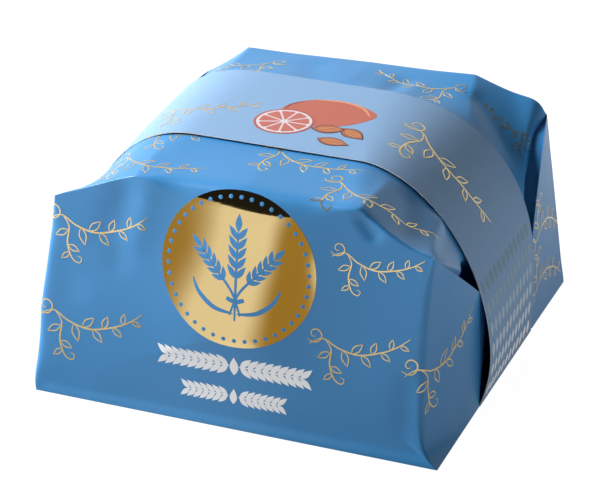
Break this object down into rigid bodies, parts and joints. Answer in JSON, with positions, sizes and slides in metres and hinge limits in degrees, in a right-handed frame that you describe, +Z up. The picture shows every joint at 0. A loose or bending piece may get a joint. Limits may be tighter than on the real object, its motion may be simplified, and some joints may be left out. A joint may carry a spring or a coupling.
{
  "type": "wrapped panettone",
  "caption": "Low square panettone in a folded blue paper wrap with ears, side flaps and a paper belly band over the top and under the base.",
  "frame": {"origin": "centre of the base, on the surface the pack stands on", "axes": "+Z up, the front wall with the round seal faces -Y, +X is to the right of a viewer in front; the band runs along X"},
  "size_m": [0.246, 0.2349, 0.1366],
  "materials": {
    "wrap_paper": "satin",
    "band_paper": "matt linen emboss",
    "gold_foil": "hot stamped foil, glossy",
    "white_ink": "matt ink",
    "fruit_ink": "matt ink"
  },
  "bodies": {
    "root": {"wrap": "wrap_paper", "band": "band_paper"}
  },
  "joints": []
}
